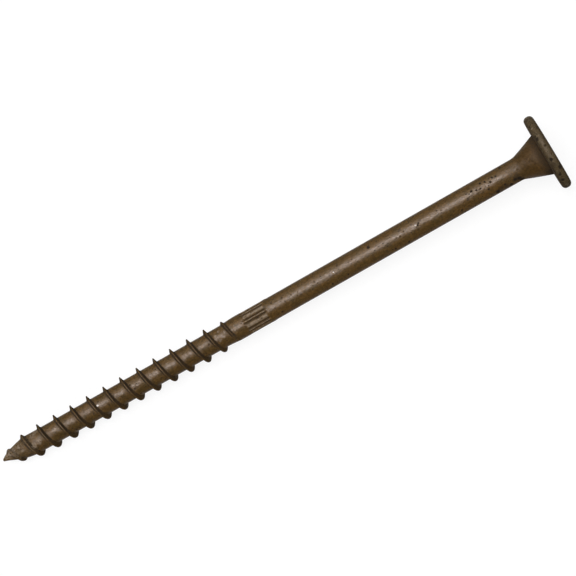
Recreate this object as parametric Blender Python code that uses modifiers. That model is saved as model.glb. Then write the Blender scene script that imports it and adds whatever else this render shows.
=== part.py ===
"""Construction screw with a washer head, as used to fasten timber framing.

It is one cold-formed piece of coated steel: a sharp point, a coarse single-start thread on a
core that is thinner than the shank, a collar with reamer grooves, a plain shank, a conical neck
and a round washer head with a six-lobe drive recess. All sizes are in metres.

The screw is made standing on its point, along its own Z axis. It is then laid down as it comes
to rest on a flat surface, on the rim of its head and on the thread near the point, with the
point towards -X and the head towards +X.
"""

import math

import bmesh
import bpy
from mathutils import Matrix, Vector

# Whole screw, from the point to the top of the head
LENGTH = 0.1524
SHANK_DIAMETER = 0.00570

# Washer head
HEAD_DIAMETER = 0.0194
HEAD_THICKNESS = 0.00245
HEAD_EDGE_RADIUS = 0.0011

# Conical neck under the head
NECK_DIAMETER = 0.0107
NECK_LENGTH = 0.0067
NECK_BLEND_RADIUS = 0.0040
NECK_TOP_RADIUS = 0.00035

# Thread: its length is measured from the point
THREAD_LENGTH = 0.0654
THREAD_DIAMETER = 0.00764
THREAD_PITCH = 0.00470
THREAD_CREST_WIDTH = 0.00028
THREAD_FLANK_ANGLE = math.radians(18.5)
THREAD_LEAD_LENGTH = 0.0112
THREAD_LEAD_SHARE = 0.32
THREAD_RUN_OUT = 0.0066
THREAD_RUN_OUT_POWER = 0.5
THREAD_START = 0.0009
THREAD_START_FADE = 0.0012
THREAD_PHASE = math.radians(-76.2)

# Core under the thread, and the shoulder where it swells into the collar
CORE_DIAMETER = 0.00534
SHOULDER_LENGTH = 0.0034
SHOULDER_GAP = 0.0005

# Gimlet point
POINT_LENGTH = 0.0082
POINT_FULLNESS = 1.7
POINT_TIP_RADIUS = 0.00020

# Reamer: a collar a little thicker than the shank, with pairs of grooves rolled along it
COLLAR_DIAMETER = 0.00586
COLLAR_LENGTH = 0.0092
COLLAR_RAMP = 0.0006
GROOVE_PAIRS = 8
GROOVE_SPACING = math.radians(15.0)
GROOVE_WIDTH = 0.00046
GROOVE_DEPTH = 0.00020
GROOVE_INSET = 0.0024
GROOVE_LENGTH = 0.0061
GROOVE_END_LENGTH = 0.0006
GROOVE_PHASE = math.radians(35.2)

# Six-lobe drive recess in the top of the head
DRIVE_OUTER_DIAMETER = 0.00675
DRIVE_INNER_DIAMETER = 0.00485
DRIVE_LOBE_RADIUS = 0.00055
DRIVE_DEPTH = 0.0042
DRIVE_FLOOR_DEPTH = 0.0007
DRIVE_LOBES = 6
DRIVE_PHASE = math.radians(8.0)

# The dies form both ends a little out of true: the point leans over, and the head is skewed
POINT_LEAN = 0.00030
POINT_LEAN_LENGTH = 0.0120
HEAD_SKEW = math.radians(1.4)

# Facets
SIDES = 40
THREAD_STEPS = 36
EDGE_STEPS = 4
BLEND_STEPS = 3
POINT_STEPS = 6
LOBE_STEPS = 4

MERGE = 0.00001
CUT_MARGIN = 0.0010
THREAD_ROOT_DEPTH = 0.00055
SMOOTH_ANGLE = math.radians(32.0)

COATING_COLOUR = (0.098, 0.063, 0.027, 1.0)
COATING_ROUGHNESS = 0.42
COATING_METALLIC = 0.35

HEAD_UNDERSIDE = LENGTH - HEAD_THICKNESS
HEAD_RADIUS = HEAD_DIAMETER / 2
SHANK_RADIUS = SHANK_DIAMETER / 2
CORE_RADIUS = CORE_DIAMETER / 2
COLLAR_RADIUS = COLLAR_DIAMETER / 2
NECK_RADIUS = NECK_DIAMETER / 2
THREAD_HEIGHT = (THREAD_DIAMETER - CORE_DIAMETER) / 2
SHOULDER_TOP = THREAD_LENGTH + SHOULDER_GAP


def clear_scene():
    """Remove every object that the file opens with."""
    for obj in list(bpy.data.objects):
        bpy.data.objects.remove(obj, do_unlink=True)


def new_collection(name):
    """Add a collection to the scene."""
    collection = bpy.data.collections.new(name)
    bpy.context.scene.collection.children.link(collection)
    return collection


def add_object(name, data, collection):
    """Link a new object with this data into a collection."""
    obj = bpy.data.objects.new(name, data)
    collection.objects.link(obj)
    return obj


def fillet(corner, before, after, radius, steps):
    """Round a corner of an outline, and return the points of the arc."""
    corner = Vector(corner)
    to_before = (Vector(before) - corner).normalized()
    to_after = (Vector(after) - corner).normalized()
    half = to_before.angle(to_after) / 2
    centre = corner + (to_before + to_after).normalized() * radius / math.sin(half)
    first = corner + to_before * radius / math.tan(half) - centre
    last = corner + to_after * radius / math.tan(half) - centre
    sweep = first.angle_signed(last)
    turned = (Matrix.Rotation(-sweep * i / steps, 2) @ first for i in range(steps + 1))
    return [tuple(centre + arm) for arm in turned]


def point_radius(height):
    """Radius of the core at this height: a full-bodied point that runs into a straight core."""
    share = min(height / POINT_LENGTH, 1.0)
    swell = 1.0 - (1.0 - share) ** POINT_FULLNESS
    return POINT_TIP_RADIUS + (CORE_RADIUS - POINT_TIP_RADIUS) * swell


def blank_outline():
    """Half the outline of the screw without its thread, from the top of the head to the point."""
    rim_top = (HEAD_RADIUS, LENGTH)
    rim_low = (HEAD_RADIUS, HEAD_UNDERSIDE)
    neck_top = (NECK_RADIUS, HEAD_UNDERSIDE)
    neck_foot = (SHANK_RADIUS, HEAD_UNDERSIDE - NECK_LENGTH)
    collar_top = SHOULDER_TOP + COLLAR_LENGTH
    shank_foot = (SHANK_RADIUS, collar_top + COLLAR_RAMP)
    edge_radius = min(HEAD_EDGE_RADIUS, 0.48 * HEAD_THICKNESS)
    outline = [(0.0, LENGTH)]
    outline += fillet(rim_top, outline[0], rim_low, edge_radius, EDGE_STEPS)
    outline += fillet(rim_low, rim_top, neck_top, edge_radius, EDGE_STEPS)
    outline += fillet(neck_top, rim_low, neck_foot, NECK_TOP_RADIUS, 2)
    outline += fillet(neck_foot, neck_top, shank_foot, NECK_BLEND_RADIUS, BLEND_STEPS)
    outline += [shank_foot, (COLLAR_RADIUS, collar_top), (COLLAR_RADIUS, SHOULDER_TOP),
                (CORE_RADIUS, SHOULDER_TOP - SHOULDER_LENGTH)]
    for i in range(POINT_STEPS + 1):
        height = POINT_LENGTH * (1.0 - i / POINT_STEPS) ** 1.3
        outline.append((point_radius(height), height))
    outline.append((0.0, 0.0))
    return outline


def turned_object(name, outline, collection):
    """Turn an outline around the Z axis, so that the middle of a facet faces +X."""
    mesh = bpy.data.meshes.new(name)
    cosine, sine = math.cos(math.pi / SIDES), math.sin(math.pi / SIDES)
    points = [(radius * cosine, radius * sine, height) for radius, height in outline]
    mesh.from_pydata(points, [(i, i + 1) for i in range(len(points) - 1)], [])
    obj = add_object(name, mesh, collection)
    turn = obj.modifiers.new("Turn", "SCREW")
    turn.angle = math.tau
    turn.steps = SIDES
    turn.render_steps = SIDES
    turn.use_merge_vertices = True
    turn.merge_threshold = MERGE
    return obj


def baked_mesh(obj):
    """Return the evaluated shape of an object as a mesh with its seams welded."""
    depsgraph = bpy.context.evaluated_depsgraph_get()
    mesh = bpy.data.meshes.new_from_object(obj.evaluated_get(depsgraph), depsgraph=depsgraph)
    shape = bmesh.new()
    shape.from_mesh(mesh)
    bmesh.ops.remove_doubles(shape, verts=shape.verts, dist=MERGE)
    bmesh.ops.dissolve_degenerate(shape, dist=MERGE, edges=shape.edges)
    bmesh.ops.recalc_face_normals(shape, faces=shape.faces)
    shape.to_mesh(mesh)
    shape.free()
    return mesh


def curve_to_mesh(curve_object, collection):
    """Replace a curve by the closed mesh that it draws, so that a Boolean can use it."""
    bpy.context.view_layer.update()
    name = curve_object.name
    curve_object.name = name + "_curve"
    solid = add_object(name, baked_mesh(curve_object), collection)
    solid.matrix_world = curve_object.matrix_world.copy()
    bpy.data.objects.remove(curve_object, do_unlink=True)
    return solid


def new_curve(name, dimensions, splines):
    """Make a curve from lists of points: each has x, y, z and a radius factor."""
    curve = bpy.data.curves.new(name, "CURVE")
    curve.dimensions = dimensions
    for points, is_closed in splines:
        spline = curve.splines.new("POLY")
        spline.points.add(len(points) - 1)
        for target, (x, y, z, factor) in zip(spline.points, points):
            target.co = (x, y, z, 1.0)
            target.radius = factor
        spline.use_cyclic_u = is_closed
    return curve


def thread_scale(height):
    """Size of the thread's section at this height, as a share of its full size."""
    lead = THREAD_LEAD_SHARE + (1.0 - THREAD_LEAD_SHARE) * min(height / THREAD_LEAD_LENGTH, 1.0)
    start = min(max((height - THREAD_START) / THREAD_START_FADE, 0.01), 1.0) ** 0.5
    end = min(max((THREAD_LENGTH - height) / THREAD_RUN_OUT, 0.01), 1.0) ** THREAD_RUN_OUT_POWER
    return lead * start * end


def thread_path():
    """Points of the thread's foot, sunk into the core, as angle, height, radius and scale."""
    turns = (THREAD_LENGTH - THREAD_START) / THREAD_PITCH
    count = math.ceil(turns * THREAD_STEPS)
    path = []
    for i in range(count + 1):
        height = THREAD_START + (THREAD_LENGTH - THREAD_START) * i / count
        angle = THREAD_PHASE + math.tau * height / THREAD_PITCH
        scale = thread_scale(height)
        path.append((angle, height, point_radius(height) - THREAD_ROOT_DEPTH * scale, scale))
    return path


def make_thread(collection):
    """Sweep the thread's section along its helix."""
    half_crest = THREAD_CREST_WIDTH / 2
    reach = THREAD_ROOT_DEPTH + THREAD_HEIGHT
    half_foot = half_crest + reach * math.tan(THREAD_FLANK_ANGLE)
    corners = [(0, -half_foot), (reach, -half_crest), (reach, half_crest), (0, half_foot)]
    section = [(x, y, 0.0, 1.0) for x, y in corners]
    profile = add_object("thread_section", new_curve("thread_section", "2D", [(section, True)]),
                         collection)
    helix = [(radius * math.cos(angle), radius * math.sin(angle), height, scale)
             for angle, height, radius, scale in thread_path()]
    curve = new_curve("thread", "3D", [(helix, False)])
    curve.twist_mode = "Z_UP"
    curve.bevel_mode = "OBJECT"
    curve.bevel_object = profile
    curve.use_fill_caps = True
    thread = curve_to_mesh(add_object("thread", curve, collection), collection)
    bpy.data.objects.remove(profile, do_unlink=True)
    return thread


def make_groove_cutter(collection):
    """Lay round rods along the collar, which cut the grooves and rise out of it at their ends."""
    radius = (GROOVE_WIDTH ** 2 / 4 + GROOVE_DEPTH ** 2) / (2 * GROOVE_DEPTH)
    centre = COLLAR_RADIUS - GROOVE_DEPTH + radius
    clear = centre + 1.3 * GROOVE_DEPTH
    foot = SHOULDER_TOP + GROOVE_INSET
    stations = [(0.0, clear), (GROOVE_END_LENGTH, centre),
                (GROOVE_LENGTH - GROOVE_END_LENGTH, centre), (GROOVE_LENGTH, clear)]
    splines = []
    for i in range(2 * GROOVE_PAIRS):
        pair = GROOVE_PHASE + math.tau * (i // 2) / GROOVE_PAIRS
        angle = pair + GROOVE_SPACING * (i % 2 - 0.5)
        splines.append(([(out * math.cos(angle), out * math.sin(angle), foot + rise, 1.0)
                         for rise, out in stations], False))
    curve = new_curve("groove_rods", "3D", splines)
    curve.bevel_depth = radius
    curve.bevel_resolution = 2
    curve.use_fill_caps = True
    return curve_to_mesh(add_object("groove_rods", curve, collection), collection)


def drive_outline():
    """Points round the recess: small round lobes, with wide round bosses tangent between them."""
    half = math.pi / DRIVE_LOBES
    inner = DRIVE_INNER_DIAMETER / 2
    lobe = Vector((DRIVE_OUTER_DIAMETER / 2 - DRIVE_LOBE_RADIUS, 0.0))
    reach = DRIVE_LOBE_RADIUS ** 2 - lobe.x ** 2 - inner ** 2 + 2 * lobe.x * inner * math.cos(half)
    boss_radius = reach / (2 * (inner - lobe.x * math.cos(half) - DRIVE_LOBE_RADIUS))
    boss = (inner + boss_radius) * Vector((math.cos(half), math.sin(half)))
    joint = math.atan2(boss.y - lobe.y, boss.x - lobe.x)
    shares = [i / LOBE_STEPS for i in range(LOBE_STEPS + 1)]
    lobe_turns = [joint * (2 * share - 1) for share in shares]
    boss_turns = [joint - math.pi + 2 * (half - joint) * share for share in shares[1:-1]]
    one_lobe = [lobe + DRIVE_LOBE_RADIUS * Vector((math.cos(a), math.sin(a))) for a in lobe_turns]
    one_lobe += [boss + boss_radius * Vector((math.cos(a), math.sin(a))) for a in boss_turns]
    return [Matrix.Rotation(DRIVE_PHASE + 2 * half * k, 2) @ point
            for k in range(DRIVE_LOBES) for point in one_lobe]


def make_drive_cutter(collection):
    """Make the cutter of the six-lobe recess: a lobed prism."""
    outline = [(x, y, 0.0, 1.0) for x, y in drive_outline()]
    curve = new_curve("drive_lobes", "2D", [(outline, True)])
    curve.fill_mode = "BOTH"
    curve.extrude = (DRIVE_DEPTH + CUT_MARGIN) / 2
    prism = add_object("drive_lobes", curve, collection)
    prism.location.z = LENGTH - DRIVE_DEPTH + curve.extrude
    return curve_to_mesh(prism, collection)


def make_drive_floor(collection):
    """Make the shallow cone that the punch leaves at the bottom of the recess."""
    wide = DRIVE_INNER_DIAMETER / 2 * 0.94
    floor = LENGTH - DRIVE_DEPTH
    outline = [(0.0, floor + CUT_MARGIN), (wide, floor + CUT_MARGIN), (wide, floor),
               (0.0, floor - DRIVE_FLOOR_DEPTH)]
    return turned_object("drive_floor", outline, collection)


def combine(obj, tool, operation):
    """Join a tool to an object, or cut it away, with an exact Boolean."""
    step = obj.modifiers.new(tool.name, "BOOLEAN")
    step.operation = operation
    step.solver = "EXACT"
    step.object = tool
    tool.hide_render = True
    tool.display_type = "WIRE"


def set_askew(mesh):
    """Lean the point over towards +Y and skew the head, with its recess, the same way."""
    neck_foot = HEAD_UNDERSIDE - NECK_LENGTH
    recess_foot = LENGTH - DRIVE_DEPTH - DRIVE_FLOOR_DEPTH
    pivot = Vector((0.0, 0.0, HEAD_UNDERSIDE))
    for vertex in mesh.vertices:
        height = vertex.co.z
        lean = max(1.0 - height / POINT_LEAN_LENGTH, 0.0) ** 1.5
        skew = min(max((height - neck_foot) / (recess_foot - neck_foot), 0.0), 1.0)
        turn = Matrix.Rotation(-HEAD_SKEW * skew, 3, "X")
        vertex.co = pivot + turn @ (vertex.co - pivot)
        vertex.co.y += POINT_LEAN * lean


def coating():
    """Bronze-brown protective coating over the steel."""
    material = bpy.data.materials.new("bronze_brown_coating")
    material.use_nodes = True
    surface = material.node_tree.nodes["Principled BSDF"]
    surface.inputs["Base Color"].default_value = COATING_COLOUR
    surface.inputs["Roughness"].default_value = COATING_ROUGHNESS
    surface.inputs["Metallic"].default_value = COATING_METALLIC
    material.diffuse_color = COATING_COLOUR
    return material


def rest_tilt():
    """Angle between the screw's axis and the surface that its head and thread rest on."""
    rim = LENGTH - HEAD_THICKNESS / 2
    slopes = []
    for angle, height, radius, scale in thread_path():
        crest = radius + (THREAD_ROOT_DEPTH + THREAD_HEIGHT) * scale
        slopes.append((HEAD_RADIUS - crest * math.cos(angle)) / (rim - height))
    return math.atan(min(slopes))


def lay_down(screw):
    """Turn the screw from its own Z axis onto its side, and set its box on the origin."""
    screw.matrix_world = Matrix.Rotation(math.pi / 2 - rest_tilt(), 4, "Y")
    corners = [screw.matrix_world @ vertex.co for vertex in screw.data.vertices]
    ends = [min(c.x for c in corners), max(c.x for c in corners)]
    sides = [min(c.y for c in corners), max(c.y for c in corners)]
    lowest = min(c.z for c in corners)
    screw.location = (-(ends[0] + ends[1]) / 2, -(sides[0] + sides[1]) / 2, -lowest)


def main():
    """Build the screw."""
    clear_scene()
    parts = new_collection("construction_screw")
    tools = new_collection("cutters")
    blank = turned_object("screw_blank", blank_outline(), tools)
    combine(blank, make_thread(tools), "UNION")
    combine(blank, make_groove_cutter(tools), "DIFFERENCE")
    combine(blank, make_drive_cutter(tools), "DIFFERENCE")
    combine(blank, make_drive_floor(tools), "DIFFERENCE")
    blank.hide_render = True
    blank.display_type = "WIRE"
    bpy.context.view_layer.update()
    mesh = baked_mesh(blank)
    mesh.name = "construction_screw"
    set_askew(mesh)
    screw = add_object("construction_screw", mesh, parts)
    mesh.materials.clear()
    mesh.materials.append(coating())
    lay_down(screw)
    mesh.shade_smooth()
    mesh.set_sharp_from_angle(angle=SMOOTH_ANGLE)


if __name__ == "__main__":
    main()
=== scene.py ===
"""Construction screw with a washer head, dressed and lit as in its photograph.

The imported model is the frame. One finely made skin takes the place of its solid, with the thread's
rounded roots and worn crest, the rolled grooves and the drive recess, under a procedural
bronze-brown coating. The floor, the light and the photograph's camera follow.

All sizes are in metres. The skin is made in the screw's own frame, in which Z runs from the point
to the head and -X is the side that faces up when the screw lies at rest.
"""

from __future__ import annotations

import logging
import math
from collections.abc import Iterable
from dataclasses import dataclass, field
from enum import Enum
from typing import Union

import bpy
import numpy as np
from mathutils import Matrix, Vector


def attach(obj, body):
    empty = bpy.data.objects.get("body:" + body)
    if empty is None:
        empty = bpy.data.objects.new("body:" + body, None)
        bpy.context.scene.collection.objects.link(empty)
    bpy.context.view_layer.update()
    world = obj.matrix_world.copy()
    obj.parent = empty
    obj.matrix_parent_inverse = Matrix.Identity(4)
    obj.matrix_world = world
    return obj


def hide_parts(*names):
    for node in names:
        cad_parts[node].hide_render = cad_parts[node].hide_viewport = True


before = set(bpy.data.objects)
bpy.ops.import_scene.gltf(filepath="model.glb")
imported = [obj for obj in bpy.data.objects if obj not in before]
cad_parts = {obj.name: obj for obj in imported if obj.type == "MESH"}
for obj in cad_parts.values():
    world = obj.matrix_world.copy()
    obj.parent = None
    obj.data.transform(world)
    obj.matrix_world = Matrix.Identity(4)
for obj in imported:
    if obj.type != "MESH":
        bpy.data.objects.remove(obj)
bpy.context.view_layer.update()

LOG = logging.getLogger("construction_screw")
NODE = "construction_screw"
BODY = "root"
MILLIMETRES = 1000.0
FLOAT = "NodeSocketFloat"
VECTOR = "NodeSocketVector"

Colour = tuple[float, float, float]
Place = tuple[float, float, float]
Column = Union[float, np.ndarray]
Socket = bpy.types.NodeSocket
Value = Union[float, Socket]
Input = Union[float, Socket, tuple[float, ...]]
Spots = list[tuple[Vector, float]]
Coat = tuple[Value, Value, Colour]


def unit(value: Column) -> Column:
    """Hold a value between 0 and 1."""
    return np.clip(value, 0.0, 1.0)


def fade(height: Column, length: float, power: float = 1.0) -> Column:
    """Return a share that falls from 1 at the point to 0 at the given height above it."""
    return unit(1.0 - height / length) ** power


# Columns of the skin, their angles, and how far each lies towards -Y and towards +Y
COLUMNS = 210
SIDE_POWER = 1.5
COLUMN_ANGLES = math.tau * np.arange(COLUMNS) / COLUMNS
MINUS_Y = unit(-np.sin(COLUMN_ANGLES)) ** SIDE_POWER
PLUS_Y = unit(np.sin(COLUMN_ANGLES)) ** SIDE_POWER

# Rates and sizes of the waves in an uneven edge, how far each is set apart from the one before,
# and the sum of them that counts as 1
WAVES = ((0.37, 1.0), (1.13, 0.8), (2.71, 0.55), (6.3, 0.35), (14.9, 0.22))
WAVE_SHIFT = 1.7
WAVE_SUM = 2.2


class Surface(Enum):
    """The two surfaces of the skin, which have their own finish. The value is the material index."""

    OUTSIDE = 0
    RECESS = 1


class MarkKind(Enum):
    """What a single mark on the coating looks like."""

    PIT = "pit"
    STAIN = "stain"
    SCUFF = "scuff"
    # A glint is a spot of painted highlight
    GLINT = "glint"


@dataclass(frozen=True)
class Mark:
    """One mark on the coating, placed along the screw and round it.

    Attributes:
        along: Distance from the point, in millimetres.
        around: Angle from the side that faces up, in degrees, positive towards world -Y.
        radius: Radius of the mark, in millimetres.
    """

    along: float
    around: float
    radius: float


MARK_PLACES = {
    MarkKind.PIT: (
        (103.27, -29, 0.42), (131.05, -19, 0.35), (132.25, -10, 0.26), (133.24, -6, 0.26),
        (133.73, -30, 0.32), (134.93, -26, 0.3), (136.03, -11, 0.31), (136.82, -28, 0.3),
        (137.72, -25, 0.26), (134.83, 16, 0.26), (77.75, 41, 0.29), (91.58, 46, 0.33),
        (95.98, 41, 0.28), (108.81, 48, 0.31), (112.39, 52, 0.3), (126.95, 44, 0.31),
        (136.51, 55, 0.55), (138.81, 35, 0.33), (140.1, 58, 0.5), (141.5, 40, 0.5),
        (142.4, 46, 0.6), (142.9, 62, 0.55), (150.3, -49, 0.42), (150.26, -29, 0.44),
        (150.25, -24, 0.65), (150.83, 11, 0.47), (151.93, 28, 0.65), (150.87, 38, 0.44),
        (150.79, 50, 0.55), (116.13, -2, 0.27), (116.5, -10, 0.25), (139.51, -55, 0.33)),
    MarkKind.STAIN: (
        (83.8, 4, 0.5), (92.06, -1, 0.55), (129.46, 9, 0.42), (117.12, -18, 0.45),
        (111.74, -27, 0.4), (114.73, -21, 0.3), (82.3, -12, 0.3), (137.4, 50, 1),
        (138.9, 56, 0.9), (141.9, 38, 1.1), (150.9, -68, 0.9), (150.9, 75, 0.9),
        (150.6, 20, 0.8), (5.0, 62, 0.9), (7.0, 58, 0.8)),
    MarkKind.SCUFF: (
        (2.5, -20, 0.6), (3.7, -38, 0.35), (4.0, -16, 0.35), (5.38, -25, 0.5), (5.96, 5, 0.41),
        (9.1, 10, 0.8), (10.6, 7, 0.75), (9.75, -45, 0.9), (10.6, -60, 0.8), (7.6, -40, 0.5),
        (15.4, -12, 0.5), (60.8, -22, 0.4), (61.9, -36, 0.36), (62.6, 4, 0.36), (61.4, 12, 0.4),
        (60.5, -6, 0.3), (63.3, -18, 0.32), (65.09, -6, 0.35), (65.79, 2, 0.3),
        (150.7, -44, 0.4)),
    # Glints are spots of painted highlight
    MarkKind.GLINT: ((115.63, -8, 0.2), (93.15, -7, 0.13), (27.5, -9, 0.28)),
}


def new_object(name: str, data: bpy.types.ID) -> bpy.types.Object:
    """Make an object from its data and link it to the scene.

    Args:
        name: Name of the object.
        data: Its mesh, lamp or camera.

    Returns:
        The new object.
    """
    made = bpy.data.objects.new(name, data)
    bpy.context.scene.collection.objects.link(made)
    return made


@dataclass(frozen=True)
class Rest:
    """How the screw lies on the floor, on the rim of its head and on the thread near its point.

    Attributes:
        tip: World place of the point.
        tilt: Angle between the screw's axis and the floor.
    """

    tip: Place = (-0.0763371, -0.0000299, 0.0033252)
    tilt: float = math.radians(2.41475)

    def matrix(self) -> Matrix:
        """Return the matrix that takes the screw's own frame to the world."""
        turn = Matrix.Rotation(math.pi / 2 - self.tilt, 4, "Y")
        return Matrix.Translation(self.tip) @ turn

    def axis(self) -> Vector:
        """Return the world direction from the point to the head."""
        return self.matrix().to_3x3() @ Vector((0.0, 0.0, 1.0))

    def up(self) -> Vector:
        """Return the world direction that is square to the axis and faces up."""
        return self.matrix().to_3x3() @ Vector((-1.0, 0.0, 0.0))


@dataclass(frozen=True)
class OutOfTrue:
    """How far the formed ends stand out of line with the shank.

    Attributes:
        point_lean: How far the point leans over, towards +Y.
        point_lean_length: Length over which it leans.
        lean_power: How sharply the lean and its return grow towards the tip.
        tip_return: How far the last of the tip comes back.
        tip_return_length: Length over which it comes back.
        bend: How far the threaded end bends towards +Y.
        bend_length: Length over which it bends.
        bend_power: How sharply the bend grows towards the tip.
        head_skew: Angle by which the head and its recess are turned round X.
        skew_foot: Height in the neck at which the skew starts.
        skew_top: Height from which it is full.
        pivot: Height about which the head is turned.
    """

    point_lean: float = 0.00030
    point_lean_length: float = 0.0120
    lean_power: float = 1.5
    tip_return: float = 0.00026
    tip_return_length: float = 0.0016
    bend: float = 0.00009
    bend_length: float = 0.055
    bend_power: float = 1.2
    head_skew: float = math.radians(1.4)
    skew_foot: float = 0.14325
    skew_top: float = 0.1475
    pivot: float = 0.14995

    def move(self, points: np.ndarray) -> np.ndarray:
        """Move points to where the forming dies left them.

        Args:
            points: Places on the true screw, one a line.

        Returns:
            The places on the formed screw.
        """
        x, y, z = points.T
        lean = (self.point_lean * fade(z, self.point_lean_length, self.lean_power)
                - self.tip_return * fade(z, self.tip_return_length, self.lean_power)
                + self.bend * fade(z, self.bend_length, self.bend_power))
        skew = self.head_skew * unit((z - self.skew_foot) / (self.skew_top - self.skew_foot))
        cosine, sine = np.cos(skew), np.sin(skew)
        above = z - self.pivot
        return np.column_stack([x, y * cosine + above * sine + lean,
                                self.pivot - y * sine + above * cosine])


class Skin:
    """The screw's closed surface, gathered from the point to the floor of the recess."""

    def __init__(self) -> None:
        """Start with no points and no faces."""
        self.points: list[np.ndarray] = []
        self.worn: list[np.ndarray] = []
        self.hollow: list[np.ndarray] = []
        self.faces: list[tuple[int, ...]] = []
        self.surfaces: list[int] = []
        self.count = 0

    def add_points(self, points: np.ndarray, worn: Column, hollow: Column) -> np.ndarray:
        """Add points to the skin.

        Args:
            points: Places in the screw's own frame, one a line.
            worn: How far the points stand out to be rubbed, from 0 to 1.
            hollow: How much painted shade they get, from 0 to 1, most where they sit deep in a
                corner or a hole.

        Returns:
            The numbers of the new points.
        """
        numbers = np.arange(self.count, self.count + len(points))
        self.points.append(points)
        self.worn.append(np.broadcast_to(worn, len(points)))
        self.hollow.append(np.broadcast_to(hollow, len(points)))
        self.count += len(points)
        return numbers

    def add_row(self, radius: Column, height: float, worn: Column = 0.0,
                hollow: Column = 0.0) -> np.ndarray:
        """Add one closed row of points round the axis.

        Args:
            radius: Distance from the axis, for each column or for all.
            height: Height along the axis.
            worn: How far the row stands out to be rubbed.
            hollow: How much painted shade the row gets, most where it sits deep in a corner or a
                hole.

        Returns:
            The numbers of the new points.
        """
        points = np.stack([radius * np.cos(COLUMN_ANGLES), radius * np.sin(COLUMN_ANGLES),
                           np.full(COLUMNS, height)], 1)
        return self.add_points(points, worn, hollow)

    def join(self, first: np.ndarray, second: np.ndarray,
             surface: Surface = Surface.OUTSIDE) -> None:
        """Join two open rows by faces, without the corners that fall together.

        Args:
            first: Point numbers of the row nearer the point, along the outline.
            second: Point numbers of the next row.
            surface: The surface that the faces are part of.
        """
        for corners in zip(first[:-1], first[1:], second[1:], second[:-1]):
            kept = [int(c) for i, c in enumerate(corners) if c != corners[i - 1]]
            if len(kept) > 2:
                self.faces.append(tuple(kept))
                self.surfaces.append(surface.value)

    def bridge(self, first: np.ndarray, second: np.ndarray,
               surface: Surface = Surface.OUTSIDE) -> np.ndarray:
        """Join two closed rows by faces and return the second, for the next call."""
        self.join(np.append(first, first[0]), np.append(second, second[0]), surface)
        return second

    def build(self, name: str, placement: Matrix) -> bpy.types.Object:
        """Make the object, with its mesh laid at rest in world places.

        Args:
            name: Name of the object and its mesh.
            placement: Matrix from the screw's own frame to the world.

        Returns:
            The new object, linked to the scene.
        """
        turn = np.array(placement.to_3x3())
        points = OutOfTrue().move(np.concatenate(self.points))
        places = points @ turn.T + np.array(placement.translation)
        mesh = bpy.data.meshes.new(name)
        mesh.from_pydata(places.tolist(), [], self.faces)
        for label, values in (("worn", self.worn), ("hollow", self.hollow)):
            layer = mesh.attributes.new(label, "FLOAT", "POINT")
            layer.data.foreach_set("value", np.concatenate(values).astype(np.float32))
        mesh.polygons.foreach_set("material_index", self.surfaces)
        mesh.shade_smooth()
        mesh.validate()
        return new_object(name, mesh)


def uneven(angle: np.ndarray, seed: float) -> np.ndarray:
    """Return a smooth, irregular wave.

    Args:
        angle: Angle along the helix.
        seed: Number that sets the wave apart from others.

    Returns:
        Values between about -1 and 1.
    """
    total = sum(size * np.sin(rate * angle + seed * (i + WAVE_SHIFT))
                for i, (rate, size) in enumerate(WAVES))
    return total / WAVE_SUM


def fillet(corner: Vector, before: Vector, after: Vector, radius: float,
           steps: int) -> list[tuple[float, float]]:
    """Round a corner of an outline.

    Args:
        corner: The corner, as radius and height.
        before: The outline's point before it.
        after: The outline's point after it.
        radius: Radius of the arc.
        steps: Number of steps along the arc.

    Returns:
        The points of the arc.
    """
    to_before = (before - corner).normalized()
    to_after = (after - corner).normalized()
    half = to_before.angle(to_after) / 2
    centre = corner + (to_before + to_after).normalized() * radius / math.sin(half)
    first = corner + to_before * radius / math.tan(half) - centre
    last = corner + to_after * radius / math.tan(half) - centre
    sweep = first.angle_signed(last)
    turned = (Matrix.Rotation(-sweep * i / steps, 2) @ first for i in range(steps + 1))
    return [tuple(centre + arm) for arm in turned]


@dataclass(frozen=True)
class SectionStep:
    """One line of the thread's section.

    Attributes:
        offset: Distance along the axis from the middle of the crest, at full size.
        rise: Height above the core, at full size.
        worn: How far it stands out to be rubbed.
        hollow: How deep it sits in the thread's root, which sets its painted shade.
        follows: Whether the offset shrinks with the thread.
    """

    offset: float
    rise: float
    worn: float = 0.0
    hollow: float = 0.0
    follows: bool = True


# Rows of the flank, as a share of its height and how hollow they are, which sets their painted shade
FLANK_ROWS = ((0.84, 0.95), (0.55, 1.0))

# Rows of the rounded root: along and up as shares of its reach, and how hollow they are
ROOT_ROWS = ((-0.31, 0.95, 1.0), (-0.02, 0.44, 1.0), (0.36, 0.13, 0.85), (1.0, 0.0, 0.25))

# Rows of the valley, as shares of the pitch
VALLEY_ROWS = (0.3, 0.5)


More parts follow.
